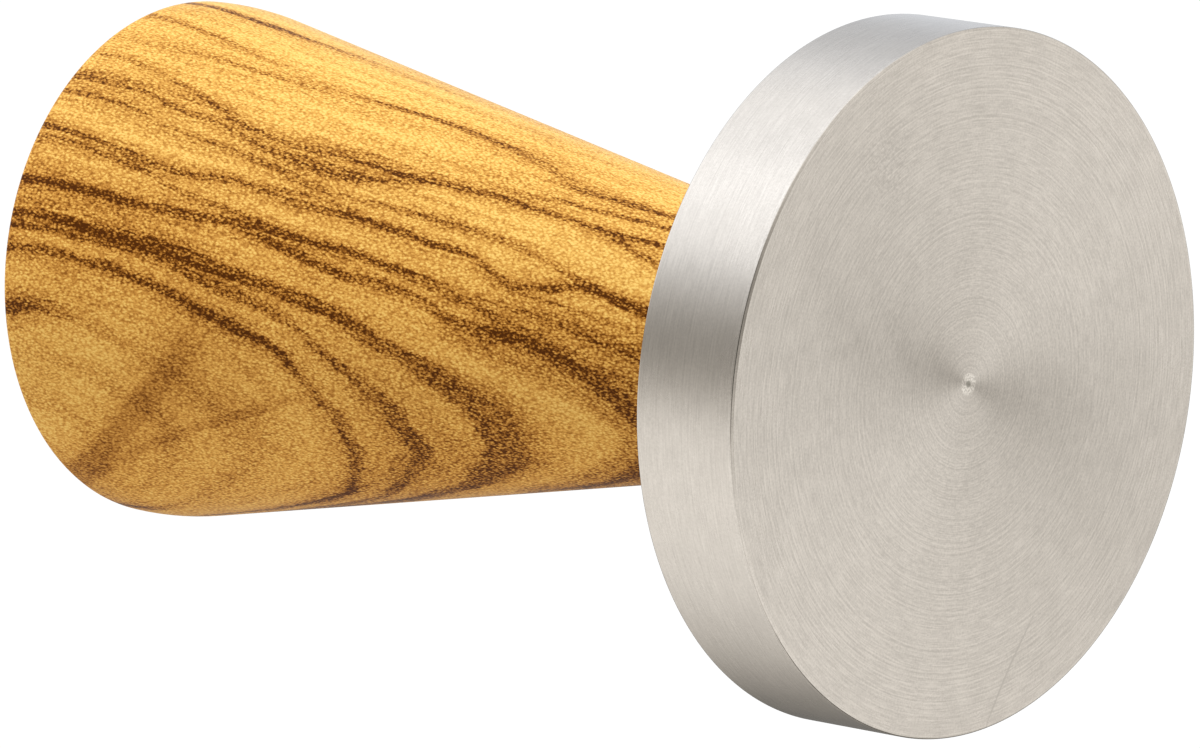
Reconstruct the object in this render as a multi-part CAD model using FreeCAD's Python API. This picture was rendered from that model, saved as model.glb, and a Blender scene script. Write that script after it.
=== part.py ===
import FreeCAD
import Part

import math
import os

# Espresso tamper: a flat stainless steel disc with a tapered hardwood handle that unscrews from it.
# Frame: millimetres, +Z up along the turning axis, origin at the centre of the tamping face.

# ---- driving dimensions ----

BASE_DIAMETER = 58.0  # fits a 58 mm filter basket
BASE_THICKNESS = 10.2
BASE_EDGE_RADIUS = 0.25
CENTRE_MARK_DIAMETER = 0.6  # left by the lathe centre in the tamping face
CENTRE_MARK_DEPTH = 0.15

NECK_DIAMETER = 16.56  # the handle's cone at the level of the base's top
RADIUS_PER_HEIGHT = 0.186  # the cone's taper
CONE_TOP = 81.5  # height where the cone starts to bend inwards
SHOULDER_RADIUS = 25.0
RIM_HEIGHT = 87.7
CROWN_RISE = 1.6  # the palm end's middle above its rim
RIM_EDGE_RADIUS = 0.7
NECK_EDGE_RADIUS = 0.4

# The M8 x 1.25 threads are plain cylinders here: holes at the major diameter, the stud a little smaller.
THREAD_DIAMETER = 8.0
THREAD_CLEARANCE = 0.05  # between the stud and either hole, on the radius
STUD_LENGTH = 20.0
STUD_IN_BASE = 6.8
STUD_CHAMFER = 0.8
HEX_KEY_SIZE = 4.0
HEX_SOCKET_DEPTH = 5.0

TAPPED_DEPTH = 7.0  # full-diameter depth of the base's blind hole
DRILL_POINT_ANGLE = 140.0
MOUTH_CHAMFER = 0.35

WASHER_DIAMETER = 14.0
WASHER_THICKNESS = 1.0
WASHER_HOLE_DIAMETER = 8.6
WASHER_RECESS = 0.6  # how far the washer sits up inside the handle
WASHER_SIDE_CLEARANCE = 0.1

INSERT_DIAMETER = 12.0
INSERT_LENGTH = 14.0
INSERT_GROOVES = 4
INSERT_GROOVE_WIDTH = 1.2
INSERT_GROOVE_DEPTH = 0.5
GLUE_GAP = 0.05
STUD_CLEARANCE_DIAMETER = 8.5  # drilled above the insert
STUD_CLEARANCE_DEPTH = 3.0

# ---- derived sizes ----

BASE_RADIUS = BASE_DIAMETER / 2
HANDLE_BOTTOM = BASE_THICKNESS + WASHER_THICKNESS - WASHER_RECESS
SEAT_HEIGHT = BASE_THICKNESS + WASHER_THICKNESS
STUD_BOTTOM = BASE_THICKNESS - STUD_IN_BASE
STUD_TOP = STUD_BOTTOM + STUD_LENGTH
INSERT_TOP = SEAT_HEIGHT + INSERT_LENGTH

THREAD_RADIUS = THREAD_DIAMETER / 2
CUTTER_OVERLAP = 1.0  # how far a cutter reaches past the surface that it cuts


def turned(outline):
    """A solid of revolution about Z from a closed list of (radius, height) points."""
    points = [FreeCAD.Vector(r, 0, z) for r, z in outline]
    face = Part.Face(Part.makePolygon(points + points[:1]))
    return revolved(face)


def revolved(face):
    solid = face.revolve(FreeCAD.Vector(0, 0, 0), FreeCAD.Vector(0, 0, 1), 360)
    return solid.Solids[0] if solid.Solids else Part.Solid(solid.Shells[0])


def rod(radius, low, high):
    return Part.makeCylinder(radius, high - low, FreeCAD.Vector(0, 0, low))


def chamfered_rod(radius, low, high, chamfer):
    inner = radius - chamfer
    return turned(
        [(0, low), (inner, low), (radius, low + chamfer), (radius, high - chamfer), (inner, high), (0, high)]
    )


def mouth(radius, height, chamfer, inwards):
    """The cone that chamfers a hole's mouth; inwards is +1 where the hole goes up from it, -1 down."""
    wide = radius + chamfer
    beyond = height - inwards * chamfer
    deep = height + inwards * wide
    return turned([(0, beyond), (wide + chamfer, beyond), (0, deep)])


def round_edge(solid, radius, height, fillet):
    """Rounds the circular edge of this radius at this height."""
    tolerance = 1e-4
    edges = [
        e
        for e in solid.Edges
        if not e.Degenerated
        and isinstance(e.Curve, Part.Circle)
        and abs(e.Curve.Radius - radius) < tolerance
        and abs(e.Curve.Center.z - height) < tolerance
    ]
    return solid.makeFillet(fillet, edges)


# ---- pieces ----


def tamping_base():
    """The steel disc: flat tamping face below, blind threaded hole in the middle of its top."""
    disc = rod(BASE_RADIUS, 0, BASE_THICKNESS)
    for height in (0, BASE_THICKNESS):
        disc = round_edge(disc, BASE_RADIUS, height, BASE_EDGE_RADIUS)
    drill_point = THREAD_RADIUS / math.tan(math.radians(DRILL_POINT_ANGLE / 2))
    hole_bottom = BASE_THICKNESS - TAPPED_DEPTH
    hole = turned(
        [
            (0, hole_bottom - drill_point),
            (THREAD_RADIUS, hole_bottom),
            (THREAD_RADIUS, BASE_THICKNESS + CUTTER_OVERLAP),
            (0, BASE_THICKNESS + CUTTER_OVERLAP),
        ]
    )
    disc = disc.cut(hole)
    disc = disc.cut(mouth(THREAD_RADIUS, BASE_THICKNESS, MOUTH_CHAMFER, -1))
    mark_radius = CENTRE_MARK_DIAMETER / 2
    centre_mark = turned(
        [
            (0, -CENTRE_MARK_DEPTH),
            (2 * mark_radius, -CENTRE_MARK_DEPTH),
            (0, CENTRE_MARK_DEPTH),
        ]
    )
    return disc.cut(centre_mark)


def threaded_stud():
    """M8 socket set screw, locked in the base; its key socket faces the handle."""
    screw = chamfered_rod(THREAD_RADIUS - THREAD_CLEARANCE, STUD_BOTTOM, STUD_TOP, STUD_CHAMFER)
    corner = HEX_KEY_SIZE / math.sqrt(3)
    floor = STUD_TOP - HEX_SOCKET_DEPTH
    corners = [
        FreeCAD.Vector(corner * math.cos(turn), corner * math.sin(turn), floor)
        for turn in [math.radians(60 * i) for i in range(6)]
    ]
    socket = Part.Face(Part.makePolygon(corners + corners[:1]))
    return screw.cut(socket.extrude(FreeCAD.Vector(0, 0, HEX_SOCKET_DEPTH + CUTTER_OVERLAP)))


def thread_insert():
    """Brass bush glued in the handle, threaded right through, with glue grooves around it."""
    outer = INSERT_DIAMETER / 2
    bush = rod(outer, SEAT_HEIGHT, INSERT_TOP)
    spacing = INSERT_LENGTH / INSERT_GROOVES
    for i in range(INSERT_GROOVES):
        middle = SEAT_HEIGHT + spacing * (i + 0.5)
        low = middle - INSERT_GROOVE_WIDTH / 2
        high = middle + INSERT_GROOVE_WIDTH / 2
        ring = rod(outer + CUTTER_OVERLAP, low, high).cut(rod(outer - INSERT_GROOVE_DEPTH, low, high))
        bush = bush.cut(ring)
    bush = bush.cut(rod(THREAD_RADIUS, SEAT_HEIGHT - CUTTER_OVERLAP, INSERT_TOP + CUTTER_OVERLAP))
    bush = bush.cut(mouth(THREAD_RADIUS, SEAT_HEIGHT, MOUTH_CHAMFER, 1))
    return bush.cut(mouth(THREAD_RADIUS, INSERT_TOP, MOUTH_CHAMFER, -1))


def seat_washer():
    """Rubber washer squeezed between base and handle, so that the handle doesn't work loose."""
    low = BASE_THICKNESS
    high = SEAT_HEIGHT
    return rod(WASHER_DIAMETER / 2, low, high).cut(rod(WASHER_HOLE_DIAMETER / 2, low, high))


def handle_blank():
    """The outside of the handle: a cone, a soft bend in its top, and a gently crowned palm end."""
    half_angle = math.atan(RADIUS_PER_HEIGHT)
    low_radius = cone_radius(HANDLE_BOTTOM)
    top_radius = cone_radius(CONE_TOP)
    bend_radius = top_radius - SHOULDER_RADIUS * math.cos(half_angle)
    bend_height = CONE_TOP + SHOULDER_RADIUS * math.sin(half_angle)

    def on_bend(height):
        reach = math.sqrt(SHOULDER_RADIUS**2 - (height - bend_height) ** 2)
        return FreeCAD.Vector(bend_radius + reach, 0, height)

    rim = on_bend(RIM_HEIGHT)
    crown = FreeCAD.Vector(0, 0, RIM_HEIGHT + CROWN_RISE)
    crown_radius = (rim.x**2 + CROWN_RISE**2) / (2 * CROWN_RISE)
    crown_middle_angle = math.asin(rim.x / crown_radius) / 2
    crown_middle = FreeCAD.Vector(
        crown_radius * math.sin(crown_middle_angle),
        0,
        crown.z - crown_radius * (1 - math.cos(crown_middle_angle)),
    )
    bottom = FreeCAD.Vector(0, 0, HANDLE_BOTTOM)
    neck = FreeCAD.Vector(low_radius, 0, HANDLE_BOTTOM)
    shoulder = FreeCAD.Vector(top_radius, 0, CONE_TOP)
    edges = [
        Part.LineSegment(bottom, neck).toShape(),
        Part.LineSegment(neck, shoulder).toShape(),
        Part.Arc(shoulder, on_bend((CONE_TOP + RIM_HEIGHT) / 2), rim).toShape(),
        Part.Arc(rim, crown_middle, crown).toShape(),
        Part.LineSegment(crown, bottom).toShape(),
    ]
    solid = revolved(Part.Face(Part.Wire(edges)))
    solid = round_edge(solid, rim.x, RIM_HEIGHT, RIM_EDGE_RADIUS)
    return round_edge(solid, low_radius, HANDLE_BOTTOM, NECK_EDGE_RADIUS)


def cone_radius(height):
    return NECK_DIAMETER / 2 + RADIUS_PER_HEIGHT * (height - BASE_THICKNESS)


def handle():
    """The turned handle, with the washer's recess and the insert's stepped bore in its small end."""
    recess_radius = WASHER_DIAMETER / 2 + WASHER_SIDE_CLEARANCE
    bore_radius = INSERT_DIAMETER / 2 + GLUE_GAP
    pilot_radius = STUD_CLEARANCE_DIAMETER / 2
    pilot_top = INSERT_TOP + STUD_CLEARANCE_DEPTH
    point = pilot_radius / math.tan(math.radians(DRILL_POINT_ANGLE / 2))
    bore = turned(
        [
            (0, HANDLE_BOTTOM - CUTTER_OVERLAP),
            (recess_radius, HANDLE_BOTTOM - CUTTER_OVERLAP),
            (recess_radius, SEAT_HEIGHT),
            (bore_radius, SEAT_HEIGHT),
            (bore_radius, INSERT_TOP),
            (pilot_radius, INSERT_TOP),
            (pilot_radius, pilot_top),
            (0, pilot_top + point),
        ]
    )
    return handle_blank().cut(bore)


PIECES = {
    "tamping_base": tamping_base,
    "threaded_stud": threaded_stud,
    "seat_washer": seat_washer,
    "thread_insert": thread_insert,
    "handle": handle,
}


def main():
    os.makedirs("parts", exist_ok=True)
    for name, make in PIECES.items():
        shape = make()
        solids = shape.Solids
        if len(solids) != 1 or not shape.isValid():
            raise RuntimeError(f"{name} is {len(solids)} solids, valid: {shape.isValid()}")
        solids[0].exportStep(f"parts/{name}.step")
        box = shape.optimalBoundingBox()
        print(f"{name}: volume {shape.Volume:.1f} mm3, z {box.ZMin:.2f} to {box.ZMax:.2f}, width {box.XLength:.2f}")


main()
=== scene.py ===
import math

import bmesh
import bpy
from mathutils import Matrix, Vector


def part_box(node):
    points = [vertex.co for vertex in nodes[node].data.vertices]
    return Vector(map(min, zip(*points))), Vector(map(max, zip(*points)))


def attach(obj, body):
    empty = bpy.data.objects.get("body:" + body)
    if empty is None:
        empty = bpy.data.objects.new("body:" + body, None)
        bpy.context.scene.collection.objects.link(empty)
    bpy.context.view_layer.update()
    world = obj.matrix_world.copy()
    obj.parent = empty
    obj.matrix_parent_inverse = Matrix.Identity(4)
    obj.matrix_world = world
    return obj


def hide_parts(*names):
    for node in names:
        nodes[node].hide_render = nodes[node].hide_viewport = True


# Espresso tamper: a turned stainless steel disc and an olive wood handle that unscrews from it.
# Lengths are in metres, in the CAD frame: +Z along the turning axis, the tamping face at Z = 0.
# Places inside the materials are in millimetres.

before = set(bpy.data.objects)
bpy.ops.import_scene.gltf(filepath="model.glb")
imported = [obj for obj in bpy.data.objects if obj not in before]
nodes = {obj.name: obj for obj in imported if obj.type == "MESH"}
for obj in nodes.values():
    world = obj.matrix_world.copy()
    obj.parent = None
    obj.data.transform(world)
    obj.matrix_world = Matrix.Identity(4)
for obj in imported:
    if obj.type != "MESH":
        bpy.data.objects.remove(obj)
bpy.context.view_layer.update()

MM = 0.001  # metres in a millimetre

# ---- sizes, from the frame where it has them ----

disc_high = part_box("tamping_base")[1]
handle_low, handle_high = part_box("handle")
stud_low, stud_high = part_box("threaded_stud")
insert_low, insert_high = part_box("thread_insert")
washer_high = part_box("seat_washer")[1]

DISC_RADIUS = disc_high.x
DISC_TOP = disc_high.z
DISC_EDGE_RADIUS = 0.25 * MM
CENTRE_MARK_RADIUS = 0.3 * MM
CENTRE_MARK_DEPTH = 0.15 * MM

THREAD_PITCH = 1.25 * MM
HOLE_RADIUS = 4.0 * MM
HOLE_DEPTH = 7.0 * MM
HOLE_CHAMFER = 0.35 * MM
DRILL_POINT_SLOPE = math.tan(math.radians(20))  # a drill's point of 140 degrees
STUD_CREST = stud_high.x
STUD_ROOT = 3.25 * MM
STUD_CHAMFER = 0.8 * MM
HEX_APOTHEM = 2.0 * MM
HEX_DEPTH = 5.0 * MM

NECK_RADIUS = 8.28 * MM  # the handle's cone where it meets the disc's top
TAPER = 0.186
CONE_TOP = 81.5 * MM
SHOULDER_RADIUS = 25.0 * MM
RIM_HEIGHT = 87.7 * MM
RIM_EDGE_RADIUS = 0.7 * MM
NECK_EDGE_RADIUS = 0.4 * MM
PILOT_RADIUS = 4.25 * MM
PILOT_DEPTH = 3.0 * MM
FIT_GAP = 0.05 * MM
WASHER_GAP = 0.1 * MM

DISC_SEGMENTS = 384
HANDLE_SEGMENTS = 288
STUD_SEGMENTS = 96
ROUNDING_STEPS = 6
BEND_STEPS = 8
CROWN_STEPS = 14
SHARP_ANGLE = math.radians(28)  # edges that bend more than this stay sharp
SAME_PLACE = 1e-7  # points nearer than this are one point

# ---- the photograph's view ----

VIEW_RIGHT = Vector((0.1636, 0.6459, -0.7457))
VIEW_UP = Vector((0.9865, -0.1071, 0.1237))
VIEW_AHEAD = Vector((0.0, 0.7559, 0.6547))
CAMERA_LENS = 371.7
CAMERA_SENSOR = 36.0
CAMERA_PLACE = Vector((-4.03, -775.2, -632.4)) * MM


# ---- turned shapes ----


def rounded(outline):
    """Points (radius, height) of an outline given as corners (radius, height, rounding)."""
    points = []
    for i, (r, z, rounding) in enumerate(outline):
        corner = Vector((r, z))
        if rounding == 0:
            points.append(corner)
            continue
        before = (Vector(outline[i - 1][:2]) - corner).normalized()
        after = (Vector(outline[i + 1][:2]) - corner).normalized()
        half = before.angle(after) / 2
        centre = corner + (before + after).normalized() * (rounding / math.sin(half))
        start = corner + before * (rounding / math.tan(half)) - centre
        end = corner + after * (rounding / math.tan(half)) - centre
        for k in range(ROUNDING_STEPS + 1):
            points.append(centre + start.slerp(end, k / ROUNDING_STEPS).normalized() * rounding)
    return points


def arc(centre_r, centre_z, radius, start, end, steps):
    """Outline corners along an arc from one angle to another, in radians above the horizontal."""
    angles = [start + (end - start) * k / steps for k in range(steps + 1)]
    return [(centre_r + radius * math.cos(a), centre_z + radius * math.sin(a), 0) for a in angles]


def ring(bm, radius, height, segments):
    """A circle of vertices, or the same vertex over and over where the radius is nothing."""
    if radius < SAME_PLACE:
        return [bm.verts.new((0, 0, height))] * segments
    turns = [2 * math.pi * j / segments for j in range(segments)]
    return [bm.verts.new((radius * math.cos(t), radius * math.sin(t), height)) for t in turns]


def bridge(bm, lower, upper):
    """Faces between two rings, or between two rows of which one is a single vertex."""
    for j in range(len(lower)):
        k = (j + 1) % len(lower)
        corners = [lower[j], lower[k], upper[k], upper[j]]
        corners = [v for n, v in enumerate(corners) if v not in corners[:n]]
        bm.faces.new(corners)


def finished_mesh(name, bm, body):
    """The object for a mesh: outward normals, smooth faces with sharp edges kept, riding on its body."""
    bmesh.ops.recalc_face_normals(bm, faces=bm.faces)
    mesh = bpy.data.meshes.new(name)
    bm.to_mesh(mesh)
    bm.free()
    for polygon in mesh.polygons:
        polygon.use_smooth = True
    mesh.set_sharp_from_angle(angle=SHARP_ANGLE)
    piece = bpy.data.objects.new(name, mesh)
    bpy.context.scene.collection.objects.link(piece)
    normals = piece.modifiers.new("even_normals", "WEIGHTED_NORMAL")
    normals.keep_sharp = True
    normals.weight = 100  # the largest faces decide
    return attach(piece, body)


def lathe(name, outline, body, segments):
    """A solid turned about Z from an outline that starts and ends on the axis."""
    bm = bmesh.new()
    rings = [ring(bm, p.x, p.y, segments) for p in rounded(outline)]
    for lower, upper in zip(rings, rings[1:]):
        bridge(bm, lower, upper)
    return finished_mesh(name, bm, body)


# ---- pieces ----


def make_disc():
    """The disc: lathe centre's mark in its face, sharp edges barely broken, threaded hole in its top."""
    mouth = HOLE_RADIUS + HOLE_CHAMFER
    hole_bottom = DISC_TOP - HOLE_DEPTH
    outline = [
        (0, CENTRE_MARK_DEPTH, 0),
        (CENTRE_MARK_RADIUS, 0, 0),
        (DISC_RADIUS, 0, DISC_EDGE_RADIUS),
        (DISC_RADIUS, DISC_TOP, DISC_EDGE_RADIUS),
        (mouth, DISC_TOP, 0),
        (HOLE_RADIUS, DISC_TOP - HOLE_CHAMFER, 0),
        (HOLE_RADIUS, hole_bottom, 0),
        (0, hole_bottom - HOLE_RADIUS * DRILL_POINT_SLOPE, 0),
    ]
    disc = lathe("steel_disc", outline, "base", DISC_SEGMENTS)
    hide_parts("tamping_base")
    return disc


def thread_rows(bm, segments):
    """Rows of vertices wound up the stud, four to a turn: groove, rising flank, crest, falling flank."""
    profile = [(0.0, STUD_ROOT), (0.125, STUD_ROOT), (0.5, STUD_CREST), (0.625, STUD_CREST)]
    turns = math.ceil((stud_high.z - stud_low.z) / THREAD_PITCH)
    rows = [
        thread_row(bm, radius, turn + share, segments)
        for turn in range(-1, turns + 2)
        for share, radius in profile
    ]
    return rows, len(profile)


def thread_row(bm, radius, turn, segments):
    """One row, held inside the stud's chamfered ends."""
    row = []
    for j in range(segments):
        share = j / segments
        height = stud_low.z + (turn + share) * THREAD_PITCH
        height = min(max(height, stud_low.z), stud_high.z)
        from_end = min(height - stud_low.z, stud_high.z - height)
        limit = STUD_CREST - max(0, STUD_CHAMFER - from_end)
        reach = min(radius, limit)
        angle = 2 * math.pi * share
        row.append(bm.verts.new((reach * math.cos(angle), reach * math.sin(angle), height)))
    return row


def wind(bm, rows, step, segments):
    """Faces between wound rows: where a row ends after one turn, the row a full turn on carries on."""
    for i in range(len(rows) - step - 1):
        for j in range(segments):
            k = j + 1
            low_next = rows[i][k] if k < segments else rows[i + step][0]
            high_next = rows[i + 1][k] if k < segments else rows[i + step + 1][0]
            bm.faces.new([rows[i][j], low_next, high_next, rows[i + 1][j]])


def hexagon_ring(bm, apothem, height, segments):
    """Vertices on a hexagon, at the same angles as a circle's."""
    sector = math.pi / 3
    row = []
    for j in range(segments):
        angle = 2 * math.pi * j / segments
        reach = apothem / math.cos((angle % sector) - sector / 2)
        row.append(bm.verts.new((reach * math.cos(angle), reach * math.sin(angle), height)))
    return row


def make_stud():
    """The set screw: right-hand thread with faded ends, hexagon socket in the end that faces the handle."""
    segments = STUD_SEGMENTS
    bm = bmesh.new()
    rows, step = thread_rows(bm, segments)
    wind(bm, rows, step, segments)
    end_radius = STUD_CREST - STUD_CHAMFER
    bridge(bm, ring(bm, 0, stud_low.z, segments), ring(bm, end_radius, stud_low.z, segments))
    socket_bottom = stud_high.z - HEX_DEPTH
    rim = ring(bm, end_radius, stud_high.z, segments)
    edge = hexagon_ring(bm, HEX_APOTHEM, stud_high.z, segments)
    floor = hexagon_ring(bm, HEX_APOTHEM, socket_bottom, segments)
    point = ring(bm, 0, socket_bottom - HEX_APOTHEM * DRILL_POINT_SLOPE, segments)
    for outer, inner in ((rim, edge), (edge, floor), (floor, point)):
        bridge(bm, outer, inner)
    bmesh.ops.remove_doubles(bm, verts=bm.verts, dist=SAME_PLACE)
    stud = finished_mesh("set_screw", bm, "base")
    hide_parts("threaded_stud")
    return stud


def cone_radius(height):
    """The handle's radius along its straight cone."""
    return NECK_RADIUS + TAPER * (height - DISC_TOP)


def handle_bend():
    """Outline corners along the cone's soft bend, from the cone up to the rim."""
    lean = math.atan(TAPER)
    bend_r = cone_radius(CONE_TOP) - SHOULDER_RADIUS * math.cos(lean)
    bend_z = CONE_TOP + SHOULDER_RADIUS * math.sin(lean)
    rim_angle = math.asin((RIM_HEIGHT - bend_z) / SHOULDER_RADIUS)
    return arc(bend_r, bend_z, SHOULDER_RADIUS, -lean, rim_angle, BEND_STEPS)


def handle_crown(rim_r):
    """Outline corners over the palm end, from the rim to the axis."""
    crown_rise = handle_high.z - RIM_HEIGHT
    crown_radius = (rim_r**2 + crown_rise**2) / (2 * crown_rise)
    crown_half = math.asin(rim_r / crown_radius)
    upright = math.pi / 2
    return arc(0, handle_high.z - crown_radius, crown_radius, upright - crown_half, upright, CROWN_STEPS)


def handle_bore():
    """Outline corners of the stepped bore, from its closed end down to the handle's small end."""
    pilot_top = insert_high.z + PILOT_DEPTH
    return [
        (0, pilot_top + PILOT_RADIUS * DRILL_POINT_SLOPE, 0),
        (PILOT_RADIUS, pilot_top, 0),
        (PILOT_RADIUS, insert_high.z, 0),
        (insert_high.x + FIT_GAP, insert_high.z, 0),
        (insert_high.x + FIT_GAP, insert_low.z, 0),
        (washer_high.x + WASHER_GAP, insert_low.z, 0),
        (washer_high.x + WASHER_GAP, handle_low.z, 0),
    ]


def make_handle():
    """The handle: cone, soft bend to the rim, crowned palm end, stepped bore from below."""
    bend = handle_bend()
    rim_r = bend[-1][0]
    outline = handle_bore()
    outline += [(cone_radius(handle_low.z), handle_low.z, NECK_EDGE_RADIUS)]
    outline += bend[:-1]
    outline += [(rim_r, RIM_HEIGHT, RIM_EDGE_RADIUS)]
    outline += handle_crown(rim_r)[1:-1]
    outline += [(0, handle_high.z, 0)]
    handle = lathe("wooden_handle", outline, "grip", HANDLE_SEGMENTS)
    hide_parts("handle")
    return handle


# ---- node helpers ----

FARTHEST = 30.0  # no place on the object is farther from the axis, in millimetres

# A drawn line fades out between these distances from its middle, in half widths.
CORE_IN = 0.35
CORE_OUT = 1.25
BORDER_IN = 0.8
BORDER_OUT = 3.0
BORDER_SHARE = 0.28  # the border's darkness beside the core's


def new_material(name):
    """A material, its node tree and its Principled shader."""
    material = bpy.data.materials.new(name)
    material.use_nodes = True
    tree = material.node_tree
    return material, tree, tree.nodes["Principled BSDF"]


def feed(tree, socket, value):
    """Links a socket's value, or sets a number or colour on the input itself."""
    if isinstance(value, bpy.types.NodeSocket):
        tree.links.new(value, socket)
    else:
        socket.default_value = value


def calc(tree, operation, *values):
    """A Math node's result."""
    node = tree.nodes.new("ShaderNodeMath")
    node.operation = operation
    for socket, value in zip(node.inputs, values):
        feed(tree, socket, value)
    return node.outputs[0]


def remap(tree, value, low, high, to_low=0.0, to_high=1.0, soft=True):
    """A value taken from one range to another and held inside it."""
    node = tree.nodes.new("ShaderNodeMapRange")
    node.interpolation_type = "SMOOTHSTEP" if soft else "LINEAR"
    names = ("Value", "From Min", "From Max", "To Min", "To Max")
    for name, given in zip(names, (value, low, high, to_low, to_high)):
        feed(tree, node.inputs[name], given)
    return node.outputs["Result"]


def mix(tree, share, first, second):
    """Two colours mixed by a share from 0 to 1."""
    node = tree.nodes.new("ShaderNodeMix")
    node.data_type = "RGBA"
    for index, value in ((0, share), (6, first), (7, second)):
        feed(tree, node.inputs[index], value)
    return node.outputs[2]


def tinted(tree, share, color, tint):
    """A colour multiplied by a tint, by a share from 0 to 1."""
    node = tree.nodes.new("ShaderNodeMix")
    node.data_type = "RGBA"
    node.blend_type = "MULTIPLY"
    for index, value in ((0, share), (6, color), (7, tint)):
        feed(tree, node.inputs[index], value)
    return node.outputs[2]


def combine(tree, x, y, z):
    """A vector from its three parts."""
    node = tree.nodes.new("ShaderNodeCombineXYZ")
    for socket, value in zip(node.inputs, (x, y, z)):
        feed(tree, socket, value)
    return node.outputs[0]


def noise(tree, place, scale, detail=2.0, roughness=0.5):
    """Noise from 0 to 1 over a place in millimetres; scale is in cycles per millimetre."""
    node = tree.nodes.new("ShaderNodeTexNoise")
    feed(tree, node.inputs["Vector"], place)
    node.inputs["Scale"].default_value = scale
    node.inputs["Detail"].default_value = detail
    node.inputs["Roughness"].default_value = roughness
    return node.outputs["Fac"]


def millimetres(tree):
    """The place on the object in millimetres, as a vector and as its three parts."""
    coordinates = tree.nodes.new("ShaderNodeTexCoord")
    scaled = tree.nodes.new("ShaderNodeVectorMath")
    scaled.operation = "SCALE"
    scaled.inputs["Scale"].default_value = 1 / MM
    tree.links.new(coordinates.outputs["Object"], scaled.inputs[0])
    parts = tree.nodes.new("ShaderNodeSeparateXYZ")
    tree.links.new(scaled.outputs[0], parts.inputs[0])
    return scaled.outputs[0], parts.outputs["X"], parts.outputs["Y"], parts.outputs["Z"]


def curve(tree, value, points, low, high):
    """A smooth curve through given (input, output) points, outputs between low and high."""
    first, last = points[0][0], points[-1][0]
    node = tree.nodes.new("ShaderNodeFloatCurve")
    line = node.mapping.curves[0]
    spots = [((x - first) / (last - first), (y - low) / (high - low)) for x, y in points]
    line.points[0].location = spots[0]
    line.points[1].location = spots[-1]
    for spot in spots[1:-1]:
        line.points.new(*spot)
    node.mapping.update()
    feed(tree, node.inputs["Value"], remap(tree, value, first, last, soft=False))
    return remap(tree, node.outputs[0], 0.0, 1.0, low, high, soft=False)


def ramp(tree, value, stops):
    """A colour that runs through given (position, colour) stops."""
    node = tree.nodes.new("ShaderNodeValToRGB")
    elements = node.color_ramp.elements
    elements[0].position, elements[0].color = stops[0]
    elements[1].position, elements[1].color = stops[-1]
    for position, color in stops[1:-1]:
        elements.new(position).color = color
    feed(tree, node.inputs["Fac"], value)
    return node.outputs["Color"]


def dots(tree, place, scale):
    """1 in the middle of small round cells, falling to 0 in the network between them."""
    node = tree.nodes.new("ShaderNodeTexVoronoi")
    feed(tree, node.inputs["Vector"], place)
    node.inputs["Scale"].default_value = scale
    return remap(tree, node.outputs["Distance"], 0.2, 0.8, 1.0, 0.0, soft=False)


def trace(tree, across, along, half_width, route):
    """How much a line through listed (along, across, darkness) points shows: a core, a softer border."""
    middle = curve(tree, along, [(a, place) for a, place, dark in route], -FARTHEST, FARTHEST)
    dark = curve(tree, along, [(a, dark) for a, place, dark in route], 0.0, 1.0)
    off = calc(tree, "ABSOLUTE", calc(tree, "SUBTRACT", across, middle))
    core = remap(tree, off, half_width * CORE_IN, half_width * CORE_OUT, 1.0, 0.0)
    border = remap(tree, off, half_width * BORDER_IN, half_width * BORDER_OUT, BORDER_SHARE, 0.0)
    return calc(tree, "MULTIPLY", dark, calc(tree, "MAXIMUM", core, border))


def traces(tree, across, along, routes):
    """Several traces laid over each other."""
    clear = None
    for half_width, route in routes:
        left = calc(tree, "SUBTRACT", 1.0, trace(tree, across, along, half_width, route))
        clear = left if clear is None else calc(tree, "MULTIPLY", clear, left)
    return calc(tree, "SUBTRACT", 1.0, clear)


def bump(tree, height, distance):
    """A normal bent by a height from 0 to 1; distance is the relief in metres."""
    node = tree.nodes.new("ShaderNodeBump")
    node.inputs["Strength"].default_value = 1.0
    node.inputs["Distance"].default_value = distance
    feed(tree, node.inputs["Height"], height)
    return node.outputs[0]


# ---- metals and rubber ----

STEEL = (0.70, 0.655, 0.602, 1)
STEEL_DULL = (0.50, 0.467, 0.428, 1)
PIP_STEEL = (0.84, 0.80, 0.74, 1)
MARK_STEEL = (0.38, 0.36, 0.32, 1)  # in the shade of the centre mark
PIP_RADIUS = 1.0  # the ring that the lathe centre has rubbed bright, in millimetres
SCUFFS_X = 16.0  # the middle of a patch of small scuffs, in millimetres
SCUFFS_Y = -14.4
SCUFFS_RADIUS = 5.0
WEAR_DEPTH = 0.4
STEEL_ROUGHNESS = (0.40, 0.27)  # near the middle of the disc and at its rim
STEEL_COMBING = (0.9, 0.6)  # how strongly the lathe marks stretch reflections, at the same two places
STEEL_RELIEF = 0.006 * MM

SCREW_BLACK = (0.055, 0.055, 0.06, 1)
SCREW_WORN = (0.42, 0.41, 0.40, 1)
SCREW_RELIEF = 0.01 * MM

BRASS = (0.80, 0.62, 0.30, 1)
BRASS_TARNISH = (0.60, 0.43, 0.19, 1)
BRASS_RELIEF = 0.008 * MM

RUBBER = (0.016, 0.016, 0.017, 1)
RUBBER_DUST = (0.05, 0.048, 0.045, 1)
RUBBER_RELIEF = 0.02 * MM

# Fine scratches in the tamping face: half width, then (x, y, darkness), in millimetres.
SCRATCHES = [
    (0.07, [(-26.8, 9.5, 0.2), (-25, 10.1, 0.5), (-22, 11.2, 0.6), (-18.4, 12.8, 0.3), (-17, 13.4, 0)]),
]


def length(tree, a, b):
    """The length of a vector with two parts."""
    squares = calc(tree, "ADD", calc(tree, "MULTIPLY", a, a), calc(tree, "MULTIPLY", b, b))
    return calc(tree, "SQRT", squares)


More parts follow.
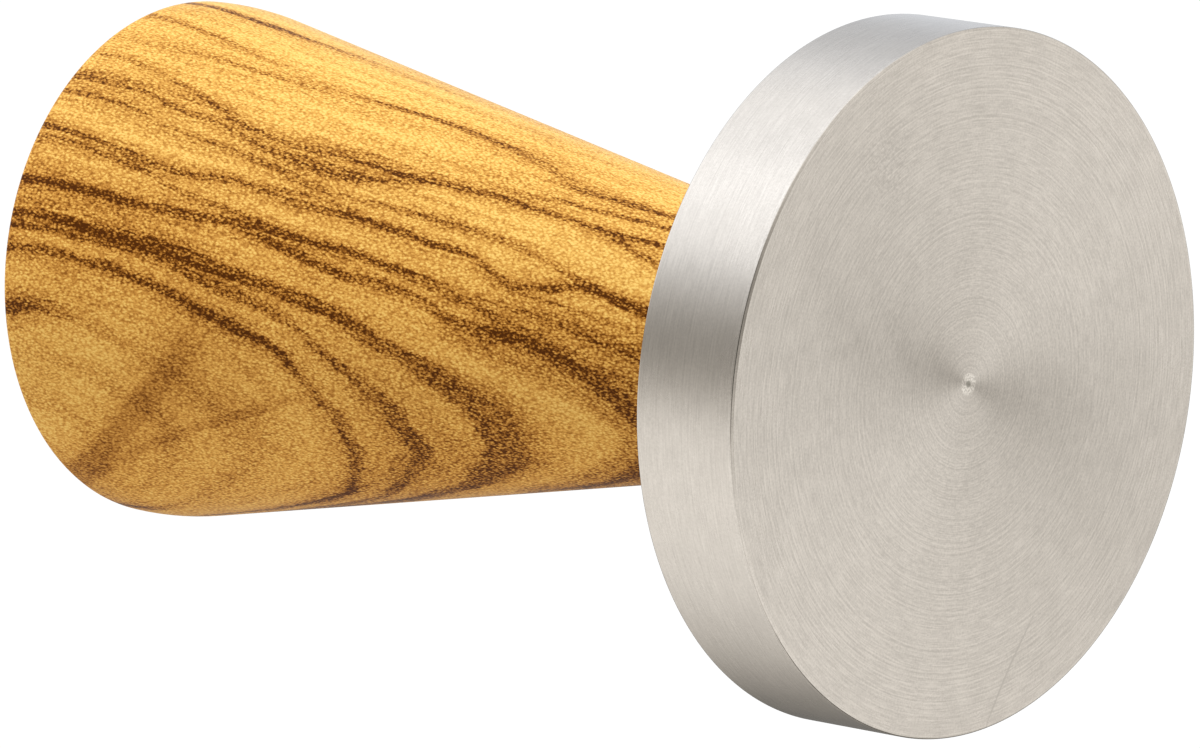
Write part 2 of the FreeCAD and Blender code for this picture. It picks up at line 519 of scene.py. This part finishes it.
def lathe_marks(tree, place, across, angle):
    """Rings on the faces and hoops round the rim, short brush streaks along them, and a fine grain."""
    marks = noise(tree, combine(tree, across, 0.0, 0.0), 4.2, detail=3.0, roughness=0.7)
    around = combine(tree, across, calc(tree, "MULTIPLY", angle, 1.6), 0.0)
    streaks = noise(tree, around, 8.0, detail=3.0, roughness=0.65)
    grain = noise(tree, place, 5.0, detail=1.0)
    lines = calc(tree, "ADD", calc(tree, "MULTIPLY", marks, 0.42), calc(tree, "MULTIPLY", streaks, 0.38))
    return marks, streaks, calc(tree, "ADD", lines, calc(tree, "MULTIPLY", grain, 0.2))


def wear(tree, place, x, y, z):
    """What dulls the tamping face here and there: scratches, and a patch of small scuffs."""
    flat = remap(tree, z, 0.05, 0.2, 1.0, 0.0)
    lines = traces(tree, y, x, SCRATCHES)
    away = length(tree, calc(tree, "SUBTRACT", x, SCUFFS_X), calc(tree, "SUBTRACT", y, SCUFFS_Y))
    patch = remap(tree, away, 0.0, SCUFFS_RADIUS, 0.5, 0.0)
    rubbed = remap(tree, noise(tree, place, 2.6, detail=4.0, roughness=0.7), 0.42, 0.75)
    scuffs = calc(tree, "MULTIPLY", patch, rubbed)
    return calc(tree, "MULTIPLY", flat, calc(tree, "MAXIMUM", lines, scuffs))


def steel_color(tree, place, radius, tone):
    """Steel by its tone, with the lathe centre's bright pip and the small dark mark in it."""
    color = mix(tree, tone, STEEL_DULL, STEEL)
    pip = remap(tree, radius, PIP_RADIUS, PIP_RADIUS * 0.8)
    pip_tone = remap(tree, noise(tree, place, 5.0, detail=2.0), 0.38, 0.62)
    color = mix(tree, calc(tree, "MULTIPLY", pip, pip_tone), color, PIP_STEEL)
    return mix(tree, remap(tree, radius, 0.36, 0.2), color, MARK_STEEL)


def broken_edges(tree, radius, z):
    """1 on the disc's two rounded edges, which are smoother than the rest."""
    top = DISC_TOP / MM
    outer = DISC_RADIUS / MM
    low_end = remap(tree, z, 0.28, 0.18)
    high_end = remap(tree, z, top - 0.28, top - 0.18)
    rim = remap(tree, radius, outer - 0.28, outer - 0.2)
    return calc(tree, "MULTIPLY", calc(tree, "MAXIMUM", low_end, high_end), rim)


def steel_tone(tree, place, x, y, z, lines):
    """The marks' tone with broad smears, calmer on the rim than on the face, and less where it is worn."""
    smears = noise(tree, place, 0.35, detail=2.0)
    tone = calc(tree, "ADD", lines, remap(tree, smears, 0.3, 0.7, -0.02, 0.02, soft=False))
    calm = remap(tree, z, 0.3, 0.8, 1.0, 0.6)
    tone = calc(tree, "ADD", calc(tree, "MULTIPLY", calc(tree, "SUBTRACT", tone, 0.5), calm), 0.5)
    tone = calc(tree, "SUBTRACT", tone, calc(tree, "MULTIPLY", wear(tree, place, x, y, z), WEAR_DEPTH))
    return remap(tree, tone, 0.36, 0.64)


def steel_roughness(tree, place, radius, edge):
    """Rougher towards the middle of the disc, a little blotchy, half as rough on the rounded edges."""
    blotches = noise(tree, place, 0.13, detail=3.0, roughness=0.6)
    spread = remap(tree, radius, 2.0, 27.0, *STEEL_ROUGHNESS, soft=False)
    rough = calc(tree, "ADD", spread, remap(tree, blotches, 0.3, 0.7, -0.02, 0.03))
    return calc(tree, "MULTIPLY", rough, remap(tree, edge, 0.0, 1.0, 1.0, 0.5))


def turned_steel():
    """Stainless steel with lathe marks, a bright pip in the middle of the face, and slight wear."""
    material, tree, shader = new_material("turned_steel")
    place, x, y, z = millimetres(tree)
    radius = length(tree, x, y)
    angle = calc(tree, "ARCTAN2", y, x)
    marks, streaks, lines = lathe_marks(tree, place, calc(tree, "ADD", radius, z), angle)
    tone = steel_tone(tree, place, x, y, z, lines)
    feed(tree, shader.inputs["Base Color"], steel_color(tree, place, radius, tone))
    shader.inputs["Metallic"].default_value = 1.0
    edge = broken_edges(tree, radius, z)
    feed(tree, shader.inputs["Roughness"], steel_roughness(tree, place, radius, edge))
    combed = remap(tree, radius, 2.0, 27.0, *STEEL_COMBING, soft=False)
    combed = calc(tree, "MULTIPLY", combed, calc(tree, "SUBTRACT", 1.0, edge))
    feed(tree, shader.inputs["Anisotropic"], combed)
    shader.inputs["Anisotropic Rotation"].default_value = 0.25
    tangent = tree.nodes.new("ShaderNodeTangent")
    tangent.direction_type = "RADIAL"
    tangent.axis = "Z"
    feed(tree, shader.inputs["Tangent"], tangent.outputs[0])
    height = calc(tree, "ADD", marks, calc(tree, "MULTIPLY", streaks, 0.5))
    feed(tree, shader.inputs["Normal"], bump(tree, height, STEEL_RELIEF))
    return material


def stud_steel():
    """Blackened screw steel, slightly worn where the thread has run."""
    material, tree, shader = new_material("stud_steel")
    place, x, y, _ = millimetres(tree)
    radius = length(tree, x, y)
    scuffs = noise(tree, place, 1.4, detail=4.0, roughness=0.7)
    crest_radius = STUD_CREST / MM
    crest = remap(tree, radius, crest_radius - 0.25, crest_radius)
    worn = calc(tree, "MULTIPLY", crest, remap(tree, scuffs, 0.42, 0.62))
    feed(tree, shader.inputs["Base Color"], mix(tree, worn, SCREW_BLACK, SCREW_WORN))
    shader.inputs["Metallic"].default_value = 1.0
    feed(tree, shader.inputs["Roughness"], remap(tree, scuffs, 0.3, 0.7, 0.34, 0.5))
    feed(tree, shader.inputs["Normal"], bump(tree, scuffs, SCREW_RELIEF))
    return material


def insert_brass():
    """Machined brass with fine tool marks and a little tarnish."""
    material, tree, shader = new_material("insert_brass")
    place, _, _, z = millimetres(tree)
    hoops = noise(tree, combine(tree, z, 0.0, 0.0), 5.0, detail=3.0, roughness=0.7)
    tarnish = noise(tree, place, 0.5, detail=4.0, roughness=0.6)
    feed(tree, shader.inputs["Base Color"], mix(tree, tarnish, BRASS, BRASS_TARNISH))
    shader.inputs["Metallic"].default_value = 1.0
    feed(tree, shader.inputs["Roughness"], remap(tree, hoops, 0.3, 0.7, 0.2, 0.36))
    feed(tree, shader.inputs["Normal"], bump(tree, hoops, BRASS_RELIEF))
    return material


def washer_rubber():
    """Black rubber with a faint pebbled skin and dust."""
    material, tree, shader = new_material("washer_rubber")
    place = millimetres(tree)[0]
    skin = noise(tree, place, 4.0, detail=3.0, roughness=0.6)
    dust = remap(tree, noise(tree, place, 0.8, detail=4.0), 0.45, 0.8)
    feed(tree, shader.inputs["Base Color"], mix(tree, dust, RUBBER, RUBBER_DUST))
    feed(tree, shader.inputs["Roughness"], remap(tree, skin, 0.3, 0.7, 0.62, 0.8))
    feed(tree, shader.inputs["Normal"], bump(tree, skin, RUBBER_RELIEF))
    return material


# ---- olive wood ----

# The growth layers are nearly flat sheets along the handle. Their normal, square to the axis:
LAYER_X = -0.75
LAYER_Y = -0.66

# Dark veins: half width, then (height, layer, darkness) along the handle, all lengths in millimetres.
VEINS = [
    (0.45, [(55, -11.4, 0.0), (64, -12.0, 0.25), (72, -12.2, 0.6), (78, -12.5, 0.9), (90, -12.6, 0.8)]),
    (0.55, [(20, -2.8, 0.5), (32, -2.9, 0.6), (38, -3.0, 0.5), (43, -4.4, 0.45), (48, -5.3, 0.5),
            (56, -5.7, 0.55), (66, -5.1, 0.45), (75, -4.6, 0.3), (90, -4.1, 0.2)]),
    (0.45, [(60, -6.0, 0.0), (70, -6.3, 0.15), (77, -7.4, 0.35), (83, -8.1, 0.45), (90, -8.2, 0.5)]),
    (0.4, [(20, -1.8, 0.5), (29, -1.2, 0.6), (37, -0.9, 0.5), (41, -0.2, 0.25), (48, 0.2, 0.1),
           (56, 0.6, 0.25), (64, 0.9, 0.2), (70, 0.6, 0.0), (90, 0.4, 0.0)]),
    (0.42, [(20, 0.2, 0.4), (30, 0.8, 0.7), (40, 0.8, 0.65), (46, 1.0, 0.6), (51, 1.3, 0.7),
            (58, 1.7, 0.55), (64, 1.9, 0.5), (69, 1.4, 0.55), (74, 0.0, 0.5), (79, -0.9, 0.4),
            (90, -1.7, 0.35)]),
    (0.4, [(50, 1.4, 0.0), (53, 2.2, 0.5), (56, 3.1, 0.6), (61, 3.5, 0.6), (65, 3.3, 0.5),
           (69, 2.4, 0.4), (78, 1.5, 0.5), (90, 1.3, 0.5)]),
    (1.0, [(50, 1.2, 0.0), (54, 2.1, 0.35), (60, 2.5, 0.38), (65, 2.3, 0.22), (70, 1.1, 0.25),
           (78, 0.6, 0.2), (90, 0.8, 0.2)]),
    (1.1, [(20, 8.6, 0.4), (32, 8.4, 0.35), (38, 8.3, 0.2), (44, 8.3, 0.0), (90, 8.3, 0.0)]),
    (0.35, [(20, 2.4, 0.3), (28, 2.1, 0.6), (31, 1.3, 0.4), (34, 1.0, 0.0), (90, 1.0, 0.0)]),
    (0.42, [(24, 6.0, 0.5), (31, 5.9, 0.55), (35, 5.0, 0.5), (41, 4.4, 0.45), (50, 4.6, 0.45),
            (56, 5.1, 0.35), (61, 4.7, 0.45), (68, 4.1, 0.35), (76, 3.5, 0.35), (82, 3.0, 0.55),
            (90, 3.0, 0.5)]),
    (0.42, [(20, 6.7, 0.7), (27, 6.4, 0.75), (32, 6.1, 0.65), (36, 7.0, 0.75), (39, 7.3, 0.7),
            (43, 6.5, 0.65), (50, 6.3, 0.6), (60, 6.6, 0.6), (66, 6.5, 0.5), (73, 7.3, 0.75),
            (80, 6.9, 0.85), (90, 6.4, 0.95)]),
    (0.3, [(54, 6.2, 0.0), (58, 5.6, 0.5), (62, 5.8, 0.4), (66, 6.4, 0.0), (90, 6.4, 0.0)]),
    (0.32, [(62, 9.0, 0.3), (68, 8.7, 0.45), (73, 8.4, 0.5), (78, 7.7, 0.6), (90, 7.6, 0.5)]),
    (0.5, [(20, 10.4, 0.1), (36, 10.2, 0.3), (41, 9.5, 0.7), (47, 9.1, 0.75), (57, 9.0, 0.8),
           (63, 9.3, 0.7), (69, 10.0, 0.7), (76, 10.5, 0.75), (90, 11.1, 0.75)]),
    (0.5, [(20, 11.4, 0.8), (28, 11.0, 0.95), (33, 10.7, 0.9), (38, 10.6, 0.85), (44, 10.8, 0.85),
           (46, 10.4, 0.6), (49, 10.2, 0.8), (55, 10.5, 0.75), (60, 10.2, 0.65), (65, 9.9, 0.3),
           (68, 9.9, 0.0), (90, 9.9, 0.0)]),
    (0.62, [(36, 13.9, 0.4), (42, 13.8, 0.6), (48, 13.5, 0.65), (54, 13.0, 0.8), (60, 12.7, 0.9),
            (66, 12.9, 0.95), (72, 12.8, 0.9), (80, 13.1, 0.85), (90, 13.5, 0.8)]),
    (0.4, [(46, 15.6, 0.4), (52, 15.3, 0.65), (56, 14.7, 0.7), (60, 14.1, 0.65), (67, 13.9, 0.6),
           (74, 13.5, 0.5), (80, 13.9, 0.6), (90, 14.2, 0.6)]),
    (0.36, [(50, 16.7, 0.4), (57, 16.5, 0.6), (61, 15.6, 0.7), (66, 15.3, 0.65), (74, 15.0, 0.6),
            (82, 15.4, 0.6), (90, 15.8, 0.65)]),
    (0.5, [(74, 17.8, 0.0), (79, 18.0, 0.15), (82, 18.3, 0.35), (86, 18.6, 0.75), (90, 18.8, 0.6)]),
    (0.5, [(20, -9.0, 0.5), (40, -12.6, 0.5), (60, -16.2, 0.6), (75, -18.7, 0.6), (90, -19.5, 0.7)]),
    (0.4, [(50, -14.4, 0.0), (70, -17.6, 0.5), (82, -18.6, 0.5), (90, -18.4, 0.5)]),
]

# A smoky stain with a darker border, where the surface runs along the layers: half width, then
# (height, side, darkness). Side is the place along the layers, square to the handle's axis.
STAIN = [
    (2.0, [(64, 11.5, 0.0), (67, 9.7, 0.2), (70, 7.4, 0.7), (73, 4.9, 0.9), (77, 1.6, 0.85),
           (84, -4.0, 0.7), (90, -8.5, 0.6)]),
    (4.0, [(60, 5.5, 0.0), (66, 5.5, 0.25), (71, 4.5, 0.3), (76, 1.5, 0.15), (82, -2.0, 0.0),
           (90, -2.0, 0.0)]),
    (0.6, [(58, 4.3, 0.0), (62, 3.2, 0.5), (69, 1.2, 0.6), (75, -0.7, 0.6), (80, -2.8, 0.5),
           (84, -4.9, 0.4), (90, -8.0, 0.2)]),
]

# Painted shade: a broad browner, darker band down one side of the handle: (side, darkness).
PAINTED_SIDE_SHADE = [(-18, 0.0), (-12, 0.08), (-7, 0.13), (-3, 0.07), (1, 0.0)]

# Olive wood from its darkest veins to its palest parts.
WOOD_COLORS = [
    (0.0, (0.085, 0.024, 0.002, 1)),
    (0.25, (0.235, 0.085, 0.010, 1)),
    (0.5, (0.47, 0.212, 0.037, 1)),
    (0.7, (0.66, 0.34, 0.072, 1)),
    (0.87, (0.82, 0.49, 0.118, 1)),
    (1.0, (0.91, 0.62, 0.18, 1)),
]
WARM_WOOD = (1, 0.95, 0.9, 1)  # a tint for the layers farthest along their normal
VEIN_DEPTH = 0.68
STAIN_DEPTH = 0.36
MEAN_FLECK = 0.53
WOOD_RELIEF = 0.012 * MM


def wood_layers(tree, x, y):
    """The place across the growth layers and the place along them, square to the handle's axis."""
    layer = calc(tree, "ADD", calc(tree, "MULTIPLY", x, LAYER_X), calc(tree, "MULTIPLY", y, LAYER_Y))
    side = calc(tree, "SUBTRACT", calc(tree, "MULTIPLY", x, -LAYER_Y), calc(tree, "MULTIPLY", y, -LAYER_X))
    return layer, side


def wood_veins(tree, layer, along, slow, z):
    """How dark the veins are, 0 to 1, with frayed edges and strands along them."""
    fray = calc(tree, "SUBTRACT", noise(tree, along, 1.8, detail=2.0), 0.5)
    frayed = calc(tree, "ADD", layer, calc(tree, "MULTIPLY", fray, 0.36))
    strands = noise(tree, combine(tree, frayed, slow, 7.0), 2.2, detail=2.0)
    veins = traces(tree, frayed, z, VEINS)
    veins = calc(tree, "MULTIPLY", veins, remap(tree, strands, 0.3, 0.65, 0.65, 1.3))
    return calc(tree, "MINIMUM", veins, 1.0)


def wood_ground(tree, layer, side, along, slow):
    """Lightness between the veins: faint lines along the layers, broad clouds, and painted shade down one
    side of the handle.
    """
    lines = noise(tree, combine(tree, layer, slow, 0.0), 1.0, detail=3.0, roughness=0.65)
    clouds = noise(tree, along, 0.09, detail=3.0, roughness=0.55)
    shade = calc(tree, "ADD", calc(tree, "MULTIPLY", lines, 0.65), calc(tree, "MULTIPLY", clouds, 0.35))
    ground = remap(tree, layer, -10.0, 12.0, 0.87, 0.8)
    # painted shade down one side of the handle
    ground = calc(tree, "SUBTRACT", ground, curve(tree, side, PAINTED_SIDE_SHADE, 0.0, 1.0))
    return calc(tree, "ADD", ground, remap(tree, shade, 0.34, 0.64, -0.13, 0.08))


def wood_flecks(tree, x, y, z):
    """Dense small flecks, 0 to 1, longer along the handle than across it."""
    fibre = combine(tree, x, y, calc(tree, "MULTIPLY", z, 0.55))
    speckle = remap(tree, noise(tree, fibre, 6.0, detail=1.0, roughness=0.6), 0.34, 0.64)
    cells = calc(tree, "MULTIPLY", dots(tree, fibre, 5.0), 0.6)
    return calc(tree, "ADD", cells, calc(tree, "MULTIPLY", speckle, 0.4))


def olive_wood():
    """Golden olive wood: dark veins along the growth layers, a smoky stain, dense golden flecks."""
    material, tree, shader = new_material("olive_wood")
    _, x, y, z = millimetres(tree)
    layer, side = wood_layers(tree, x, y)
    along = combine(tree, x, y, calc(tree, "MULTIPLY", z, 0.35))
    slow = calc(tree, "MULTIPLY", z, 0.03)
    wander = calc(tree, "SUBTRACT", noise(tree, along, 0.3, detail=2.0), 0.5)
    layer = calc(tree, "ADD", layer, calc(tree, "MULTIPLY", wander, 0.8))
    smoke = calc(tree, "ADD", side, calc(tree, "MULTIPLY", wander, 1.6))
    stain = calc(tree, "MULTIPLY", traces(tree, smoke, z, STAIN), remap(tree, layer, 13.0, 16.5))
    veins = wood_veins(tree, layer, along, slow, z)
    flecks = wood_flecks(tree, x, y, z)

    light = wood_ground(tree, layer, side, along, slow)
    light = calc(tree, "SUBTRACT", light, calc(tree, "MULTIPLY", veins, VEIN_DEPTH))
    fleck_depth = remap(tree, light, 0.3, 0.88, 1.1, 0.5, soft=False)
    light = calc(tree, "SUBTRACT", light, calc(tree, "MULTIPLY", stain, STAIN_DEPTH))
    fleck = calc(tree, "SUBTRACT", flecks, MEAN_FLECK)
    light = calc(tree, "ADD", light, calc(tree, "MULTIPLY", fleck, fleck_depth))
    color = tinted(tree, remap(tree, layer, 2.0, 14.0), ramp(tree, light, WOOD_COLORS), WARM_WOOD)
    feed(tree, shader.inputs["Base Color"], color)
    feed(tree, shader.inputs["Roughness"], remap(tree, flecks, 0.0, 1.0, 0.55, 0.42))
    shader.inputs["Specular IOR Level"].default_value = 0.04
    shader.inputs["Sheen Weight"].default_value = 0.35
    shader.inputs["Sheen Roughness"].default_value = 0.22
    feed(tree, shader.inputs["Normal"], bump(tree, flecks, WOOD_RELIEF))
    return material


def dress(piece, material):
    """Gives a piece or a CAD node its material in the object's own slot."""
    if not piece.material_slots:
        piece.data.materials.append(material)
    for spot in piece.material_slots:
        spot.link = "OBJECT"
        spot.material = material


# ---- studio ----

# Studio brightness by direction round the turning axis, in degrees from +X, above the horizon.
STUDIO_RING = [
    (0, 1.4), (8, 1.32), (18, 1.13), (36, 0.81), (50, 0.77), (64, 0.93), (76, 0.93), (84, 0.55),
    (90, 0.25), (98, 0.16), (112, 0.18), (128, 0.29), (150, 0.6), (174, 0.95), (198, 1.15), (236, 1.14),
    (246, 0.95), (256, 0.6), (268, 0.42), (280, 0.62), (294, 1.2), (302, 1.48), (318, 1.7), (330, 1.72),
    (338, 1.46), (349, 1.54), (360, 1.4),
]
# The same along the horizon, which only the disc's edges mirror.
STUDIO_HORIZON = [
    (0, 1.25), (32, 0.9), (60, 0.8), (90, 0.7), (120, 0.4), (142, 0.12), (165, 0.15), (193, 0.9),
    (218, 1.05), (236, 0.9), (246, 0.3), (265, 0.05), (290, 0.15), (300, 0.7), (325, 1.3), (360, 1.25),
]
# How cool the light is, by direction as above: daylight from one side.
STUDIO_COOL = [
    (0, 0.5), (45, 0.9), (80, 1.0), (100, 0.6), (130, 0.0), (255, 0.0), (300, 0.5), (330, 0.6),
    (360, 0.5),
]
# Below it, a bright panel that the tamping face mirrors, by direction round the panel's middle, in degrees.
STUDIO_PANEL = [(0, 1.0), (25, 1.1), (48, 1.16), (72, 1.05), (95, 1.0), (140, 1.0), (168, 0.97), (180, 1.0)]
# Dark flags on two opposite sides of it, by the same direction.
STUDIO_FLAGS = [
    (0, 0.02), (25, 0.0), (50, 0.03), (70, 0.14), (86, 0.45), (97, 0.6), (108, 0.45), (122, 0.16),
    (140, 0.02), (158, 0.0), (172, 0.06), (180, 0.02),
]

HALF_TURN = 180.0
FULL_TURN = 360.0
BRIGHTEST = 2.0  # above every value in the lists

HORIZON_IN = 0.12  # the sine of the height where the horizon's band starts to fade
HORIZON_OUT = 0.3  # and where it has gone
SHADE_LIGHT = (1.0, 0.955, 0.88, 1)  # the light's tint where it is dim
BRIGHT_LIGHT = (1.0, 0.985, 0.955, 1)
COOL_LIGHT = (0.93, 0.98, 1.06, 1)
BACKDROP = 1.05  # just over white

KEY_SIZE = 0.35
KEY_POWER = 1.9
KEY_COLOR = (1.0, 0.97, 0.92)
KEY_TOWARD = Vector((0.86, -0.5, 0.08)).normalized()
KEY_DISTANCE = 0.6
KEY_AIM = Vector((0, 0, 50 * MM))  # the middle of the handle

FLOOR_REACH = 3.0
FLOOR_DROP = 0.05 * MM
FLOOR_PALE = (0.9, 0.9, 0.9, 1)
FLOOR_GREY = (0.86, 0.86, 0.86, 1)


def panel_light(tree, direction):
    """The panel and its flags, placed by the tilt of a facet that mirrors them to the photograph's view."""
    halfway = tree.nodes.new("ShaderNodeVectorMath")
    halfway.operation = "SUBTRACT"
    tree.links.new(direction, halfway.inputs[0])
    halfway.inputs[1].default_value = VIEW_AHEAD
    parts = tree.nodes.new("ShaderNodeSeparateXYZ")
    tree.links.new(halfway.outputs[0], parts.inputs[0])
    x, y, z = parts.outputs
    turn = calc(tree, "DEGREES", calc(tree, "ARCTAN2", y, x))
    turn = calc(tree, "MODULO", calc(tree, "ADD", turn, FULL_TURN), HALF_TURN)
    tilt = calc(tree, "DEGREES", calc(tree, "ARCTAN2", length(tree, x, y), calc(tree, "ABSOLUTE", z)))
    flags = calc(tree, "MULTIPLY", curve(tree, turn, STUDIO_FLAGS, 0.0, 1.0), remap(tree, tilt, 2.0, 15.0))
    return calc(tree, "SUBTRACT", curve(tree, turn, STUDIO_PANEL, 0.0, BRIGHTEST), flags)


def studio_light(tree, direction):
    """Brightness and tint from a direction: the ring above, the horizon's band, and the panel below."""
    parts = tree.nodes.new("ShaderNodeSeparateXYZ")
    tree.links.new(direction, parts.inputs[0])
    x, y, z = parts.outputs
    turn = calc(tree, "DEGREES", calc(tree, "ARCTAN2", y, x))
    azimuth = calc(tree, "MODULO", calc(tree, "ADD", turn, FULL_TURN), FULL_TURN)
    is_up = remap(tree, z, HORIZON_IN, HORIZON_OUT)
    is_down = remap(tree, z, -HORIZON_OUT, -HORIZON_IN, 1.0, 0.0)
    is_level = remap(tree, calc(tree, "ABSOLUTE", z), HORIZON_IN, HORIZON_OUT, 1.0, 0.0)
    overhead = remap(tree, z, 0.9, 0.98, 1.0, 0.8)
    above = calc(tree, "MULTIPLY", curve(tree, azimuth, STUDIO_RING, 0.0, BRIGHTEST), overhead)
    above = calc(tree, "MULTIPLY", above, is_up)
    below = calc(tree, "MULTIPLY", panel_light(tree, direction), is_down)
    level = calc(tree, "MULTIPLY", curve(tree, azimuth, STUDIO_HORIZON, 0.0, BRIGHTEST), is_level)
    strength = calc(tree, "ADD", calc(tree, "ADD", above, below), level)
    cool = calc(tree, "MULTIPLY", curve(tree, azimuth, STUDIO_COOL, 0.0, 1.0), is_up)
    tint = mix(tree, remap(tree, strength, 0.2, 1.2), SHADE_LIGHT, BRIGHT_LIGHT)
    return strength, mix(tree, cool, tint, COOL_LIGHT)


def make_world():
    """White to the camera; the studio's light to everything else."""
    world = bpy.data.worlds.new("studio")
    world.use_nodes = True
    tree = world.node_tree
    tree.nodes.clear()
    direction = tree.nodes.new("ShaderNodeTexCoord")
    lit = tree.nodes.new("ShaderNodeBackground")
    strength, tint = studio_light(tree, direction.outputs["Generated"])
    feed(tree, lit.inputs["Color"], tint)
    feed(tree, lit.inputs["Strength"], strength)
    white = tree.nodes.new("ShaderNodeBackground")
    white.inputs["Color"].default_value = (1, 1, 1, 1)
    white.inputs["Strength"].default_value = BACKDROP
    rays = tree.nodes.new("ShaderNodeLightPath")
    chooser = tree.nodes.new("ShaderNodeMixShader")
    tree.links.new(rays.outputs["Is Camera Ray"], chooser.inputs[0])
    tree.links.new(lit.outputs[0], chooser.inputs[1])
    tree.links.new(white.outputs[0], chooser.inputs[2])
    output = tree.nodes.new("ShaderNodeOutputWorld")
    tree.links.new(chooser.outputs[0], output.inputs["Surface"])
    bpy.context.scene.world = world


def make_key_light():
    """A large soft light on one side of the handle; the steel only mirrors the studio round it."""
    data = bpy.data.lights.new("key", "AREA")
    data.shape = "DISK"
    data.size = KEY_SIZE
    data.energy = KEY_POWER
    data.color = KEY_COLOR
    light = bpy.data.objects.new("key", data)
    light.location = KEY_AIM + KEY_TOWARD * KEY_DISTANCE
    light.rotation_euler = KEY_TOWARD.to_track_quat("Z", "Y").to_euler()
    light.visible_glossy = False
    bpy.context.scene.collection.objects.link(light)


def make_camera():
    """The long lens that the photograph's perspective asks for, below the disc and in front of it."""
    data = bpy.data.cameras.new("camera")
    data.lens = CAMERA_LENS
    data.sensor_width = CAMERA_SENSOR
    data.clip_start = 0.01
    data.clip_end = 50
    camera = bpy.data.objects.new("camera", data)
    turn = Matrix((VIEW_RIGHT, VIEW_UP, -VIEW_AHEAD)).transposed().to_4x4()
    camera.matrix_world = Matrix.Translation(CAMERA_PLACE) @ turn
    bpy.context.scene.collection.objects.link(camera)
    bpy.context.scene.camera = camera


def floor_paint():
    """Pale grey that glows a little, and clear from behind."""
    material, tree, shader = new_material("floor")
    mottle = noise(tree, millimetres(tree)[0], 0.02, detail=2.0)
    feed(tree, shader.inputs["Base Color"], mix(tree, mottle, FLOOR_GREY, FLOOR_PALE))
    shader.inputs["Roughness"].default_value = 0.7
    shader.inputs["Emission Color"].default_value = (1, 1, 1, 1)
    shader.inputs["Emission Strength"].default_value = 0.3
    geometry = tree.nodes.new("ShaderNodeNewGeometry")
    clear = tree.nodes.new("ShaderNodeBsdfTransparent")
    sides = tree.nodes.new("ShaderNodeMixShader")
    tree.links.new(geometry.outputs["Backfacing"], sides.inputs[0])
    tree.links.new(shader.outputs[0], sides.inputs[1])
    tree.links.new(clear.outputs[0], sides.inputs[2])
    tree.links.new(sides.outputs[0], tree.nodes["Material Output"].inputs["Surface"])
    return material


def make_floor():
    """Pale floor just under the disc, seen from above only: the photograph looks up past it."""
    bm = bmesh.new()
    corners = [(-1, -1), (1, -1), (1, 1), (-1, 1)]
    bm.faces.new([bm.verts.new((x * FLOOR_REACH, y * FLOOR_REACH, -FLOOR_DROP)) for x, y in corners])
    mesh = bpy.data.meshes.new("floor")
    bm.to_mesh(mesh)
    bm.free()
    floor = bpy.data.objects.new("floor", mesh)
    bpy.context.scene.collection.objects.link(floor)
    floor.data.materials.append(floor_paint())
    floor.visible_shadow = False
    floor.visible_diffuse = False
    floor.visible_glossy = False


def main():
    """Builds the pieces with their materials, then the studio."""
    dress(make_disc(), turned_steel())
    dress(make_stud(), stud_steel())
    dress(make_handle(), olive_wood())
    dress(nodes["thread_insert"], insert_brass())
    dress(nodes["seat_washer"], washer_rubber())
    make_world()
    make_key_light()
    make_camera()
    make_floor()
    bpy.context.scene.view_settings.view_transform = "Standard"


main()
